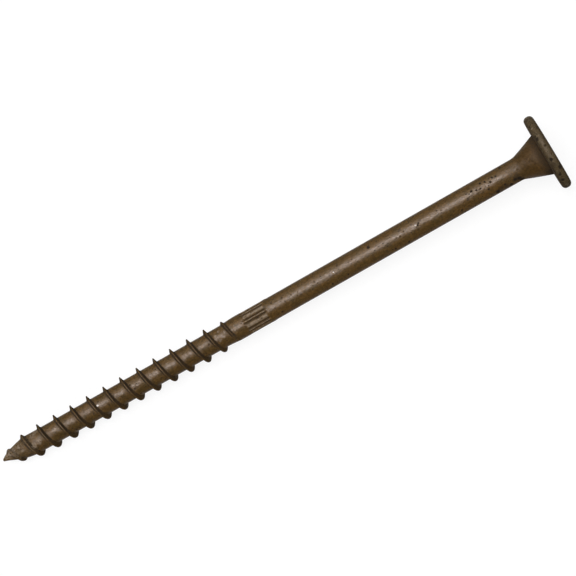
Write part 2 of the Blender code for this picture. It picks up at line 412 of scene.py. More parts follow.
@dataclass
class ThreadedEnd:
    """Sharp point, core and coarse single-start thread, up to the shoulder.

    Attributes:
        crest_round_at: Where the crest starts to round off, as a share of its half width.
        root_reach: How far the rounded root reaches from the foot of the flank.
        lead_share: Size of the thread where it starts, as a share of its full size.
        point_spread: How much wider the thread is at the very point.
        taper: How much less the thread's width shrinks on the point than its rise.
        run_out_taper: How much less it shrinks where the thread runs out.
        point_fullness: How full the point is between a cone, at 1, and a blunt nose.
        strip_foot: Height at which the helical rows start.
        strip_top: Height at which they end.
        snap: How near to those ends a point is moved onto them.
        show_rate: How soon wear and gathered coat show as the thread grows.
        bare: How bare the very point is, and bare_spared, how much of that one side is spared.
        less_shade_minus_y: How much less painted shade the thread has on the side towards -Y.
        painted_shade_and_stain: How much painted shade the crest has on the side towards +Y.
        painted_shade_and_stain: How much of it gathered on the crest on the side towards +Y.
        run_out_darkening: How much darker the crest is where the thread runs out.
        run_out_reach: Length over which it is darker, as a share of run_out.
        darkened_from: Share of the thread's rise above which the crest is darker, on the side
            towards +Y and where the thread runs out.
        darkened_from: Share of the thread's rise above which it gathered there.
    """

    # The thread and its section
    length: float = 0.0654
    core_diameter: float = 0.00534
    thread_diameter: float = 0.00760
    pitch: float = 0.00470
    phase: float = math.radians(-76.2)
    crest_width: float = 0.00026
    crest_round_at: float = 0.72
    crest_round: float = 0.000008
    crest_edge: float = 0.000012
    crest_drop: float = 0.00005
    flank_angle: float = math.radians(17.5)
    root_reach: float = 0.0002058

    # How it starts on the point and runs out into the shoulder
    start: float = 0.0009
    start_fade: float = 0.0012
    start_power: float = 0.5
    lead_length: float = 0.0112
    lead_share: float = 0.24
    point_spread: float = 1.7
    point_spread_length: float = 0.0105
    taper: float = 0.5
    run_out: float = 0.0066
    run_out_power: float = 0.5
    run_out_taper: float = 0.12

    # The point and the shoulder
    point_length: float = 0.0082
    point_fullness: float = 1.7
    tip_radius: float = 0.00026
    tip_height: float = 0.00006
    tip_rows: tuple[float, ...] = (0.35, 0.75, 1.0)
    shoulder_foot: float = 0.0625
    shoulder_top: float = 0.0659
    shoulder_diameter: float = 0.00586
    strip_foot: float = 0.00030
    strip_top: float = 0.0662
    snap: float = 0.00003

    # Wear, painted shade on the crest on the side towards +Y, and a darker crest where the thread
    # runs out
    nick_depth: float = 0.000035
    nick_seed: float = 8.3
    crest_lean: float = 0.00005
    lean_seed: float = 3.1
    show_rate: float = 3.0
    bare: float = 0.85
    bare_spared: float = 0.6
    bare_length: float = 0.0135
    bare_power: float = 0.7
    less_shade_minus_y: float = 0.5
    painted_shade_and_stain: float = 0.55
    run_out_darkening: float = 0.7
    run_out_reach: float = 1.6
    darkened_from: float = 0.5

    def core_radius(self, height: Column) -> Column:
        """Return the radius of the core, with the point and the shoulder.

        Args:
            height: Heights above the tip.

        Returns:
            The radius at each height.
        """
        core = self.core_diameter / 2
        swell = 1.0 - fade(height, self.point_length, self.point_fullness)
        climb = unit((height - self.shoulder_foot) / (self.shoulder_top - self.shoulder_foot))
        radius = self.tip_radius + (core - self.tip_radius) * swell
        return radius + (self.shoulder_diameter / 2 - core) * climb

    def scales(self, height: np.ndarray) -> tuple[np.ndarray, np.ndarray]:
        """Return the size of the thread's section, as a share of its full size.

        Args:
            height: Heights of the crest above the tip.

        Returns:
            The share of the thread's rise and of its width, at each height.
        """
        lead = self.lead_share + (1 - self.lead_share) * unit(height / self.lead_length)
        lead = lead * unit((height - self.start) / self.start_fade) ** self.start_power
        end = unit((self.length - height) / self.run_out) ** self.run_out_power
        spread = 1 + self.point_spread * fade(height, self.point_spread_length)
        return lead * end, lead ** self.taper * end ** self.run_out_taper * spread

    def full_rise(self) -> float:
        """Return the height of the full thread above the core."""
        return (self.thread_diameter - self.core_diameter) / 2

    def half_section(self) -> list[SectionStep]:
        """Lay out one side of the thread's section.

        Returns:
            Its lines, from the middle of the crest to the middle of the valley.
        """
        top = self.full_rise()
        lead_angle = math.atan(self.pitch / (math.pi * (self.core_diameter + top)))
        slope = math.tan(self.flank_angle) / math.cos(lead_angle)
        half_crest = self.crest_width / 2 / math.cos(lead_angle)
        foot = half_crest + top * slope
        steps = [SectionStep(0.0, top, worn=0.16, hollow=0.1),
                 SectionStep(half_crest * self.crest_round_at, top - self.crest_round, worn=0.12,
                             hollow=0.25),
                 SectionStep(half_crest + self.crest_edge, top - self.crest_drop, hollow=0.7)]
        steps += [SectionStep(foot - share * top * slope, share * top, hollow=hollow)
                  for share, hollow in FLANK_ROWS]
        steps += [SectionStep(foot + self.root_reach * along, self.root_reach * up, hollow=hollow)
                  for along, up, hollow in ROOT_ROWS]
        return steps + [SectionStep(share * self.pitch, 0.0, follows=False)
                        for share in VALLEY_ROWS]

    def strip_row(self, step: SectionStep, angle: np.ndarray, side: int) -> tuple[np.ndarray, ...]:
        """Lay one line of the section along a turn of the helix.

        Args:
            step: The line of the section.
            angle: Angle along the helix, for each column.
            side: 1 on the side of the crest that faces the head, -1 on the other.

        Returns:
            Radius, height, worn and hollow of each column.
        """
        crest = self.pitch * (angle - self.phase) / math.tau
        size, width = self.scales(crest)
        share = step.rise / self.full_rise()
        lean = self.crest_lean * share * uneven(angle, self.lean_seed) * size
        nick = self.nick_depth * step.worn * (1.0 + uneven(angle, self.nick_seed)) * size
        height = crest + side * step.offset * (width if step.follows else 1.0) + lean
        radius = self.core_radius(height) + step.rise * size - nick
        shown = unit(size * self.show_rate)
        ending = unit((crest - self.length) / (self.run_out_reach * self.run_out) + 1.0)
        # crust here is painted shade on the crest on the side towards +Y and the darker crest where
        # the thread runs out; the side towards -Y gets less painted shade
        crust = np.maximum(self.run_out_darkening * ending, self.painted_shade_and_stain * PLUS_Y)
        hollow = np.maximum(step.hollow, crust * (share > self.darkened_from))
        hollow = hollow * (1.0 - self.less_shade_minus_y * MINUS_Y) * shown
        return radius, height, step.worn * shown * (1.0 - ending), hollow

    def strip_rows(self) -> tuple[np.ndarray, np.ndarray, np.ndarray, np.ndarray, int]:
        """Lay out the helical rows of the thread and the core between its turns.

        Returns:
            Radius, height, worn and hollow for each row and column, and the rows in a turn.
        """
        rising = self.half_section()
        steps = [(step, 0, 1) for step in rising] + [(step, 1, -1) for step in rising[-2:0:-1]]
        first = math.floor(self.strip_foot / self.pitch + self.phase / math.tau) - 2
        last = math.ceil(self.strip_top / self.pitch + self.phase / math.tau) + 2
        rows = [self.strip_row(step, COLUMN_ANGLES + math.tau * (turn + ahead), side)
                for turn in range(first, last) for step, ahead, side in steps]
        radius, height, worn, hollow = (np.array(part) for part in zip(*rows))
        return radius, height, worn, hollow, len(steps)

    def build(self, skin: Skin) -> np.ndarray:
        """Add the threaded end to the skin.

        Args:
            skin: The skin to add to.

        Returns:
            The last row, at the foot of the collar.
        """
        row = np.repeat(skin.add_points(np.zeros((1, 3)), 1.0, 0.0), COLUMNS)
        for share in self.tip_rows:
            height = self.tip_height * (1.0 - math.sqrt(1.0 - share ** 2))
            tip = skin.add_row(share * self.core_radius(self.tip_height), height, worn=0.9)
            row = skin.bridge(row, tip)
        foot = skin.add_row(self.core_radius(self.strip_foot), self.strip_foot, worn=0.62)
        skin.bridge(row, foot)
        top = skin.add_row(self.core_radius(self.strip_top), self.strip_top)
        radius, height, worn, hollow, turn_rows = self.strip_rows()
        tip_wear = self.bare * (1.0 - self.bare_spared * MINUS_Y)
        worn = np.maximum(worn, tip_wear * fade(height, self.bare_length, self.bare_power))
        below = height < self.strip_foot + self.snap
        inside = ~below & (height <= self.strip_top - self.snap)
        points = np.stack([radius * np.cos(COLUMN_ANGLES), radius * np.sin(COLUMN_ANGLES),
                           height], -1)
        number = np.where(below, foot[None, :], top[None, :])
        number[inside] = skin.add_points(points[inside], worn[inside], hollow[inside])
        turned = np.column_stack([number[:-turn_rows], number[turn_rows:, 0]])
        for lower, upper in zip(turned[:-1], turned[1:]):
            skin.join(lower, upper)
        return top


# Rows in which a groove starts or ends, as shares of the length over which it does
GROOVE_END_ROWS = (-0.1, 0.05, 0.2, 0.4, 0.7, 1.0, 1.3)


@dataclass
class ReamerCollar:
    """Slightly thicker collar above the thread, with short grooves rolled along it in pairs.

    Attributes:
        hollow_power: How sharply the hollow between two bars closes in on its groove.
        end_power: How bluntly the grooves start and end.
        middle_inset: Where a groove's evenly spaced rows start, as a share of groove_end.
        drift: How far one pair of grooves has drifted round the collar.
        drift_at: Angle at which the drift is full.
        drift_reach: How far round the collar it fades out.
    """

    diameter: float = 0.00586
    foot: float = 0.0659
    length: float = 0.0092
    ramp: float = 0.0006
    shank_diameter: float = 0.00570
    groove_pairs: int = 8
    groove_spacing: float = math.radians(15.0)
    groove_depth: float = 0.00030
    groove_width: float = math.radians(4.2)
    groove_inset: float = 0.0024
    groove_length: float = 0.0064
    groove_end: float = 0.0006
    groove_phase: float = math.radians(35.2)
    hollow_power: float = 1.4
    end_power: float = 0.6
    first_row: float = 0.0008
    row_gap: float = 0.0004
    edge_gap: float = 0.00005
    plain_rows: int = 4
    middle_inset: float = 1.8
    middle_rows: int = 9
    drift: float = math.radians(6.5)
    drift_at: float = math.radians(230.0)
    drift_reach: float = math.radians(60.0)

    def rolled(self, height: float) -> float:
        """Return how far the grooves have come to their full depth at a height, from 0 to 1."""
        start = self.foot + self.groove_inset
        return unit(min(height - start, start + self.groove_length - height) / self.groove_end)

    def groove(self, height: float) -> np.ndarray:
        """Return how deep the grooves are at a height.

        Args:
            height: Height along the axis.

        Returns:
            The depth in each column, from 0 to 1.
        """
        period = math.tau / self.groove_pairs
        off = np.clip((COLUMN_ANGLES - self.drift_at) / self.drift_reach, -1.0, 1.0)
        angles = COLUMN_ANGLES - self.drift * np.cos(off * math.pi / 2) ** 2
        angle = np.abs((angles - self.groove_phase + period / 2) % period - period / 2)
        inside = self.groove_spacing / 2
        half_bar = np.where(angle < inside, inside, period / 2 - inside)
        away = np.abs(angle - inside)
        narrow = np.exp(-(away / self.groove_width) ** 2)
        wide = (1.0 - away / half_bar) ** self.hollow_power
        return (narrow + wide) / 2 * self.rolled(height) ** self.end_power

    def heights(self) -> np.ndarray:
        """Lay out the rows, close together where the grooves start and end.

        Returns:
            The height of each row.
        """
        start = self.foot + self.groove_inset
        stop = start + self.groove_length
        ramp = np.array(GROOVE_END_ROWS) * self.groove_end
        inset = self.middle_inset * self.groove_end
        middle = np.linspace(start + inset, stop - inset, self.middle_rows)
        before = np.linspace(self.foot + self.first_row, start - self.row_gap, self.plain_rows)
        end = self.foot + self.length
        after = np.array([end - self.edge_gap, end + self.ramp / 2, end + self.ramp])
        return np.concatenate([before, start + ramp, middle, (stop - ramp)[::-1], after])

    def build(self, skin: Skin, row: np.ndarray) -> np.ndarray:
        """Add the collar to the skin.

        Args:
            skin: The skin to add to.
            row: The last row of the threaded end.

        Returns:
            The last row, at the foot of the shank.
        """
        for height in self.heights():
            climb = unit((height - self.foot - self.length) / self.ramp)
            narrow = climb * (self.diameter - self.shank_diameter) / 2
            groove = self.groove(height)
            radius = self.diameter / 2 - narrow - self.groove_depth * groove
            worn = (1.0 - groove) ** 2 * self.rolled(height)
            row = skin.bridge(row, skin.add_row(radius, height, worn, groove))
        return row


@dataclass
class Shank:
    """Plain shank between the collar and the neck."""

    diameter: float = 0.00570
    foot: float = 0.0757
    top: float = 0.1425
    rows: int = 26

    def build(self, skin: Skin, row: np.ndarray) -> np.ndarray:
        """Add the shank to the skin.

        Args:
            skin: The skin to add to.
            row: The last row of the collar.

        Returns:
            The last row, just below the neck.
        """
        for height in np.linspace(self.foot, self.top, self.rows)[1:-1]:
            row = skin.bridge(row, skin.add_row(self.diameter / 2, height))
        return row


# How hollow the rows are on the cone and under the head, and the first and last row of its edges,
# which sets their painted shade
CONE_SHADES = (0.0, 0.0, 0.05, 0.2, 0.7)
UNDER_SHADES = (0.9, 0.6, 0.5)
LOW_EDGE_SHADES = (0.9, 0.05)
HIGH_EDGE_SHADES = (0.1, 0.9)


@dataclass
class WasherHead:
    """Conical neck and round washer head with a full rounded rim."""

    length: float = 0.1524
    diameter: float = 0.01934
    thickness: float = 0.00245
    edge_radius: float = 0.0011
    edge_worn: float = 0.25
    arc_steps: int = 9
    corner_steps: int = 5
    neck_diameter: float = 0.0107
    neck_length: float = 0.0067
    neck_blend_radius: float = 0.0040
    neck_top_radius: float = 0.00035
    shank_diameter: float = 0.00570

    def outline(self) -> list[tuple[float, float, float, float]]:
        """Return the outline from the shank to the top face.

        Returns:
            Radius, height, worn and hollow of each point.
        """
        underside = self.length - self.thickness
        rim = self.diameter / 2
        foot = Vector((self.shank_diameter / 2, underside - self.neck_length))
        corner = Vector((self.neck_diameter / 2, underside))
        low = Vector((rim, underside))
        high = Vector((rim, self.length))
        below = foot - Vector((0.0, self.neck_length))
        centre = Vector((0.0, self.length))
        flat_end = (rim - self.edge_radius, underside)
        blend = fillet(foot, below, corner, self.neck_blend_radius, self.arc_steps)
        cone_top = fillet(corner, foot, low, self.neck_top_radius, self.corner_steps)
        cone = np.linspace(blend[-1], cone_top[0], len(CONE_SHADES) + 2)[1:-1]
        under = np.linspace(cone_top[-1], flat_end, len(UNDER_SHADES) + 2)[1:-1]
        low_arc = fillet(low, corner, high, self.edge_radius, self.arc_steps)
        high_arc = fillet(high, low, centre, self.edge_radius, self.arc_steps)
        stretches = ((blend, 0.0, np.zeros(len(blend))),
                     (cone, 0.0, CONE_SHADES),
                     (cone_top, 0.0, np.ones(len(cone_top))),
                     (under, 0.0, UNDER_SHADES),
                     (low_arc, self.edge_worn, np.linspace(*LOW_EDGE_SHADES, len(low_arc))),
                     (high_arc, self.edge_worn, np.linspace(*HIGH_EDGE_SHADES, len(high_arc))))
        return [(*point, worn, hollow) for points, worn, shades in stretches
                for point, hollow in zip(points, shades)]

    def build(self, skin: Skin, row: np.ndarray) -> np.ndarray:
        """Add the neck and the head to the skin.

        Args:
            skin: The skin to add to.
            row: The last row of the shank.

        Returns:
            The last row, at the edge of the flat top.
        """
        for radius, height, worn, hollow in self.outline():
            row = skin.bridge(row, skin.add_row(radius, height, worn, hollow))
        return row


# Rows of the flat top, from its rim to the recess: share of the way, and how worn they are
TOP_ROWS = ((0.1, 0.0), (0.45, 0.0), (0.75, 0.0), (1.0, 0.45))

# Rows of the rounded mouth, the walls and the cone, as shares of each
MOUTH_ROWS = (0.25, 0.5, 0.75, 1.0)
WALL_ROWS = (0.15, 0.4, 0.7, 0.92, 1.0)
CONE_ROWS = (1.0, 0.75, 0.5, 0.25)


@dataclass
class DriveRecess:
    """Six-lobe recess in the flat top of the head, with a cone at its bottom.

    Attributes:
        draft: How far the walls close in towards the bottom, as a share.
        cone_share: Width of the cone, as a share of the recess's inner diameter.
        mouth_worn: How worn its rounded mouth is.
        mouth_hollow: How hollow its mouth is, which sets its painted shade.
        wall_hollow: How hollow its walls are at the top, which sets their painted shade.
    """

    top: float = 0.1524
    head_flat_radius: float = 0.00857
    outer_diameter: float = 0.00675
    inner_diameter: float = 0.00485
    lobe_radius: float = 0.00055
    lobes: int = 6
    depth: float = 0.0042
    floor_depth: float = 0.0007
    phase: float = math.radians(8.0)
    edge_radius: float = 0.00016
    lobe_columns: int = 21
    draft: float = 0.02
    cone_share: float = 0.94
    mouth_worn: float = 0.75
    mouth_hollow: float = 0.1
    wall_hollow: float = 0.25

    def outline(self) -> np.ndarray:
        """Lay out the recess's outline.

        Returns:
            Its points in the plane of the head, one for each column of the skin.
        """
        half = math.pi / self.lobes
        inner = self.inner_diameter / 2
        lobe = Vector((self.outer_diameter / 2 - self.lobe_radius, 0.0))
        reach = (self.lobe_radius ** 2 - lobe.x ** 2 - inner ** 2
                 + 2 * lobe.x * inner * math.cos(half))
        boss_radius = reach / (2 * (inner - lobe.x * math.cos(half) - self.lobe_radius))
        boss = (inner + boss_radius) * Vector((math.cos(half), math.sin(half)))
        joint = math.atan2(boss.y - lobe.y, boss.x - lobe.x)
        boss_columns = COLUMNS // self.lobes - self.lobe_columns
        turns = [joint * (2 * i / self.lobe_columns - 1) for i in range(self.lobe_columns)]
        one_lobe = [lobe + self.lobe_radius * Vector((math.cos(a), math.sin(a))) for a in turns]
        turns = [joint - math.pi + 2 * (half - joint) * i / boss_columns
                 for i in range(boss_columns)]
        one_lobe += [boss + boss_radius * Vector((math.cos(a), math.sin(a))) for a in turns]
        points = [Matrix.Rotation(self.phase + 2 * half * k, 2) @ point
                  for k in range(self.lobes) for point in one_lobe]
        return np.array([tuple(point) for point in points])

    def rows(self) -> list[tuple[np.ndarray, float, float, float, Surface]]:
        """Lay out the rows from the rim of the head to the floor of the recess.

        Returns:
            Places in the plane of the head, height, worn, hollow and surface of each row.
        """
        lobed = self.outline()
        start = math.atan2(lobed[0, 1], lobed[0, 0])
        lobed = np.roll(lobed, round(start / math.tau * COLUMNS), axis=0)
        outward = lobed / np.linalg.norm(lobed, axis=1)[:, None]
        rim = self.head_flat_radius * np.column_stack([np.cos(COLUMN_ANGLES),
                                                       np.sin(COLUMN_ANGLES)])
        mouth = lobed + outward * self.edge_radius
        rows = [(rim * (1 - share) + mouth * share, self.top, worn, 0.0, Surface.OUTSIDE)
                for share, worn in TOP_ROWS]
        for share in MOUTH_ROWS:
            angle = share * math.pi / 2
            flat = mouth - outward * self.edge_radius * math.sin(angle)
            height = self.top - self.edge_radius * (1 - math.cos(angle))
            rows.append((flat, height, self.mouth_worn, self.mouth_hollow, Surface.OUTSIDE))
        for share in WALL_ROWS:
            flat = lobed * (1.0 - self.draft * share)
            height = self.top - self.edge_radius - (self.depth - self.edge_radius) * share
            hollow = self.wall_hollow + (1.0 - self.wall_hollow) * share
            rows.append((flat, height, 0.0, hollow, Surface.RECESS))
        cone = outward * self.inner_diameter / 2 * self.cone_share
        for share in CONE_ROWS:
            height = self.top - self.depth - self.floor_depth * (1.0 - share)
            rows.append((cone * share, height, 0.0, 1.0, Surface.RECESS))
        return rows

    def build(self, skin: Skin, row: np.ndarray) -> None:
        """Add the flat top and the recess to the skin, and close it.

        Args:
            skin: The skin to add to.
            row: The last row of the head's rim.
        """
        for flat, height, worn, hollow, surface in self.rows():
            points = np.column_stack([flat, np.full(COLUMNS, height)])
            row = skin.bridge(row, skin.add_points(points, worn, hollow), surface)
        bottom = np.array([[0.0, 0.0, self.top - self.depth - self.floor_depth]])
        pole = skin.add_points(bottom, 0.0, 1.0)
        skin.bridge(row, np.repeat(pole, COLUMNS), Surface.RECESS)


class NodeSheet:
    """A node tree, with short ways to add nodes and wire them."""

    def __init__(self, tree: bpy.types.NodeTree) -> None:
        """Take the tree to work in."""
        self.tree = tree

    def feed(self, target: Socket, value: Input) -> None:
        """Wire a socket to an input, or set the input to a plain value.

        Args:
            target: The input.
            value: The socket or the value; a colour may be given without its alpha.
        """
        if isinstance(value, bpy.types.NodeSocket):
            self.tree.links.new(value, target)
        elif isinstance(value, tuple) and target.type == "RGBA" and len(value) == 3:
            target.default_value = (*value, 1.0)
        else:
            target.default_value = value

    def node(self, kind: str, inputs: dict[str | int, Input] | None = None,
             **settings: object) -> bpy.types.Node:
        """Add a node.

        Args:
            kind: Type name of the node.
            inputs: Values or sockets for its inputs, by name or by place.
            settings: Properties of the node.

        Returns:
            The new node.
        """
        node = self.tree.nodes.new(kind)
        for name, setting in settings.items():
            setattr(node, name, setting)
        for key, value in (inputs or {}).items():
            self.feed(node.inputs[key], value)
        return node

    def attribute(self, name: str) -> Socket:
        """Read a value that the mesh holds for each point."""
        return self.node("ShaderNodeAttribute", attribute_name=name).outputs["Fac"]

    def maths(self, operation: str, first: Value, second: Value, clamp: bool = False) -> Socket:
        """Add a Math node and return its result."""
        return self.node("ShaderNodeMath", {0: first, 1: second}, operation=operation,
                         use_clamp=clamp).outputs[0]

    def times(self, first: Value, second: Value) -> Socket:
        """Multiply two values."""
        return self.maths("MULTIPLY", first, second)

    def larger(self, first: Value, second: Value) -> Socket:
        """Return the larger of two values."""
        return self.maths("MAXIMUM", first, second)

    def add_up(self, total: Value, parts: Iterable[tuple[Value, float]],
               clamp: bool = False) -> Socket:
        """Add values to a total, each times its own amount.

        Args:
            total: The value to start from.
            parts: Each value and its amount.
            clamp: Whether the sum is held between 0 and 1.

        Returns:
            The sum.
        """
        for part, amount in parts:
            total = self.maths("ADD", total, self.times(part, amount), clamp)
        return total

    def vectors(self, operation: str, *inputs: Input) -> bpy.types.NodeOutputs:
        """Add a Vector Math node and return its outputs."""
        return self.node("ShaderNodeVectorMath", dict(enumerate(inputs)),
                         operation=operation).outputs

    def ramp(self, value: Value, low: Value, high: Value, start: float = 0.0,
             stop: float = 1.0) -> Socket:
        """Bring a value smoothly from one range to another.

        Args:
            value: The value.
            low: Where its own range starts.
            high: Where its own range ends.
            start: The result up to low.
            stop: The result from high on.

        Returns:
            The result.
        """
        inputs = {"Value": value, "From Min": low, "From Max": high, "To Min": start,
                  "To Max": stop}
        node = self.node("ShaderNodeMapRange", inputs, interpolation_type="SMOOTHSTEP")
        return node.outputs["Result"]

    def between(self, value: Value, rise: tuple[float, float],
                fall: tuple[float, float]) -> Socket:
        """Return a mask that rises to 1 over one range of a value and falls to 0 over another."""
        return self.times(self.ramp(value, *rise), self.ramp(value, *fall, 1.0, 0.0))

    def blend(self, share: Value, base: Value | Colour, over: Value | Colour,
              mode: str = "MIX") -> Socket:
        """Blend two colours and return the result."""
        return self.node("ShaderNodeMix", {0: share, 6: base, 7: over}, data_type="RGBA",
                         blend_type=mode).outputs[2]

    def layers(self, base: Socket | Colour, coats: Iterable[Coat]) -> Socket:
        """Lay coats of colour over a base.

        Args:
            base: The colour underneath.
            coats: Each coat's mask, how strong it is at its fullest, and its colour.

        Returns:
            The colour of them all.
        """
        for mask, share, colour in coats:
            base = self.blend(self.times(mask, share), base, colour)
        return base

    def noise(self, position: Socket, scale: Value, detail: float, roughness: float = 0.5,
              distortion: float = 0.0) -> bpy.types.NodeOutputs:
        """Add a noise texture.

        Args:
            position: Where it is read.
            scale: How many of its largest spots go in a millimetre.
            detail: How many finer layers it has.
            roughness: How strong the finer layers are.
            distortion: How far it is twisted.

        Returns:
            The outputs of its node.
        """
        inputs = {"Vector": position, "Scale": scale, "Detail": detail, "Roughness": roughness,
                  "Distortion": distortion}
        return self.node("ShaderNodeTexNoise", inputs).outputs

    def wander(self, position: Socket, noise: Socket, amount: float) -> Socket:
        """Move a position about by the colours of a noise."""
        centred = self.vectors("SUBTRACT", noise, (0.5, 0.5, 0.5))["Vector"]
        return self.vectors("MULTIPLY_ADD", centred, (amount,) * 3, position)["Vector"]

    def effect(self, tree: bpy.types.NodeTree, position: Socket, **inputs: Input) -> Socket:
        """Place a node group with its position and other inputs, and return its output."""
        return self.node("ShaderNodeGroup", {"Position": position, **inputs},
                         node_tree=tree).outputs[0]


class EffectGroup(NodeSheet):
    """A node group under construction, with a position, named values and one named output."""

    def __init__(self, name: str, values: tuple[str, ...], output: str) -> None:
        """Make the group's tree and its sockets.

        Args:
            name: Name of the group.
            values: Names of the inputs beside the position.
            output: Name of the output value.
        """
        super().__init__(bpy.data.node_groups.new(name, "ShaderNodeTree"))
        sockets = {"Position": VECTOR, **{value: FLOAT for value in values}}
        for label, kind in sockets.items():
            self.tree.interface.new_socket(label, in_out="INPUT", socket_type=kind)
        self.tree.interface.new_socket(output, in_out="OUTPUT", socket_type=FLOAT)
        self.inputs = self.node("NodeGroupInput").outputs
        self.position = self.inputs["Position"]

    def scale(self, size: str) -> Socket:
        """Return the texture scale that gives the size of an input."""
        return self.maths("DIVIDE", 1.0, self.inputs[size])

    def finish(self, result: Socket) -> bpy.types.NodeTree:
        """Wire the result to the output and return the tree."""
        self.node("NodeGroupOutput", {0: result})
        return self.tree


class CoatingEffects:
    """Node groups that the coatings share. Positions and sizes in them are in millimetres."""

    def __init__(self) -> None:
        """Build each group once."""
        self.patches = self.make_patches()
        self.grain = self.make_grain()
        self.specks = self.make_specks()
        self.spot = self.make_spot()
        self.rubbed = self.make_rubbed()
        self.hollow_shade = self.make_hollow_shade()

    def make_patches(self) -> bpy.types.NodeTree:
        """Build the group of soft patches of about the given size, as a mask.

        Returns:
            The group's tree.
        """
        group = EffectGroup("soft_patches", ("Size", "Edge"), "Mask")
        noise = group.noise(group.position, group.scale("Size"), detail=3.0, roughness=0.62,
                            distortion=0.4)["Fac"]
        low = group.maths("SUBTRACT", 0.5, group.inputs["Edge"])
        high = group.maths("ADD", 0.5, group.inputs["Edge"])
        return group.finish(group.ramp(noise, low, high))

    def make_grain(self) -> bpy.types.NodeTree:
        """Build the group of a sprayed and baked coat's fine grain, as a value round 0.5.

        Returns:
            The group's tree.
        """
        group = EffectGroup("coat_grain", ("Size",), "Value")
        return group.finish(group.noise(group.position, group.scale("Size"), detail=4.0,
                                        roughness=0.6)["Fac"])

    def make_specks(self) -> bpy.types.NodeTree:
        """Build the group of specks scattered at random, as a mask.

        Returns:
            The group's tree.
        """
        group = EffectGroup("scattered_specks", ("Spacing", "Radius", "Share"), "Mask")
        wobble = group.noise(group.position, scale=6.0, detail=2.0)["Color"]
        place = group.wander(group.position, wobble, amount=0.22)
        cells = group.node("ShaderNodeTexVoronoi",
                           {"Vector": place, "Scale": group.scale("Spacing")}).outputs
        distance = group.times(cells["Distance"], group.inputs["Spacing"])
        chance = group.node("ShaderNodeSeparateColor", {0: cells["Color"]}).outputs
        size = group.times(group.inputs["Radius"], group.ramp(chance[1], 0.0, 1.0, 0.5, 1.3))
        speck = group.ramp(group.maths("DIVIDE", distance, size), 0.6, 1.1, 1.0, 0.0)
        chosen = group.maths("LESS_THAN", chance[0], group.inputs["Share"])
        return group.finish(group.times(speck, chosen))

    def make_spot(self) -> bpy.types.NodeTree:
        """Build the group of one spot round the position 0, as a mask.

        Returns:
            The group's tree.
        """
        group = EffectGroup("single_spot", ("Radius",), "Mask")
        distance = group.vectors("LENGTH", group.position)["Value"]
        near = group.maths("DIVIDE", distance, group.inputs["Radius"])
        return group.finish(group.ramp(near, 0.55, 1.25, 1.0, 0.0))

    def make_rubbed(self) -> bpy.types.NodeTree:
        """Build the group of edges on which the coat is rubbed thin, as a mask.

        Returns:
            The group's tree.
        """
        group = EffectGroup("rubbed_edges", ("Edge", "Amount"), "Mask")
        noise = group.noise(group.position, scale=1.6, detail=4.0, roughness=0.65)["Fac"]
        uneven_edge = group.times(group.inputs["Edge"], group.ramp(noise, 0.3, 0.7, 0.25, 1.0))
        mask = group.ramp(uneven_edge, 0.1, 0.85)
        return group.finish(group.times(mask, group.inputs["Amount"]))

    def make_hollow_shade(self) -> bpy.types.NodeTree:
        """Build the group of painted shade in corners and hollows, as a mask.

        Returns:
            The group's tree.
        """
        group = EffectGroup("painted_hollow_shade", ("Hollow", "Amount"), "Mask")
        noise = group.noise(group.position, scale=1.1, detail=3.0)["Fac"]
        deep = group.times(group.inputs["Hollow"], group.ramp(noise, 0.25, 0.75, 0.65, 1.0))
        mask = group.ramp(deep, 0.05, 0.95)
        return group.finish(group.times(mask, group.inputs["Amount"]))


# Where the neck's redder coat, darker as painted shade, and the duller coat at its foot rise and
# fall, along the screw, and where the rim's starts, out from the axis, in millimetres
NECK_COAT = ((141.0, 145.0), (149.6, 150.2))
NECK_FOOT_COAT = ((138.0, 142.3), (142.6, 145.2))
RIM_COAT = (8.3, 9.2)


class CoatMasks:
    """Masks and values of one material that say where on the screw each finish shows.

    Attributes:
        worn: Where the surface stands out to be rubbed.
        hollow: Where it sits in a corner or a hole, which gets painted shade and duller gloss; on
            the thread it also holds painted shade on the side towards +Y.
        wide: Wide soft patches.
        small: Small soft patches.
        lumps: Slow waviness of the coat, as a value round 0.5.
        cloudy: Its cloudiness, likewise.
        grain: Its finest grain, likewise.
        on_neck: The conical neck.
        off_neck: All but most of the neck.
        by_neck: The foot of the neck.
        on_rim: The rim of the head.
        specks: Scattered specks.
    """

    def __init__(self, sheet: NodeSheet, effects: CoatingEffects, position: Socket) -> None:
        """Make the masks.

        Args:
            sheet: The material's node tree.
            effects: The shared node groups.
            position: The place on the screw, in its own frame and in millimetres.
        """
        self.worn = sheet.attribute("worn")
        self.hollow = sheet.attribute("hollow")
        self.wide = sheet.effect(effects.patches, position, Size=2.6, Edge=0.16)
        self.small = sheet.effect(effects.patches, position, Size=0.8, Edge=0.12)
        self.lumps = sheet.effect(effects.grain, position, Size=1.5)
        self.cloudy = sheet.effect(effects.grain, position, Size=0.55)
        self.grain = sheet.effect(effects.grain, position, Size=0.2)
        along = sheet.node("ShaderNodeSeparateXYZ", {0: position}).outputs["Z"]
        self.on_neck = sheet.between(along, *NECK_COAT)
        self.by_neck = sheet.between(along, *NECK_FOOT_COAT)
        self.off_neck = sheet.maths("SUBTRACT", 1.0, sheet.times(self.on_neck, 0.75))
        outward = sheet.vectors("MULTIPLY", position, (1.0, 1.0, 0.0))["Vector"]
        self.on_rim = sheet.ramp(sheet.vectors("LENGTH", outward)["Value"], *RIM_COAT)
        fine = sheet.effect(effects.specks, position, Spacing=0.62, Radius=0.15, Share=0.55)
        coarse = sheet.effect(effects.specks, position, Spacing=1.7, Radius=0.26, Share=0.55)
        crumbs = sheet.effect(effects.specks, position, Spacing=0.9, Radius=0.32, Share=0.6)
        self.specks = sheet.larger(sheet.times(sheet.larger(fine, coarse), self.off_neck),
                                   sheet.times(crumbs, self.on_rim))


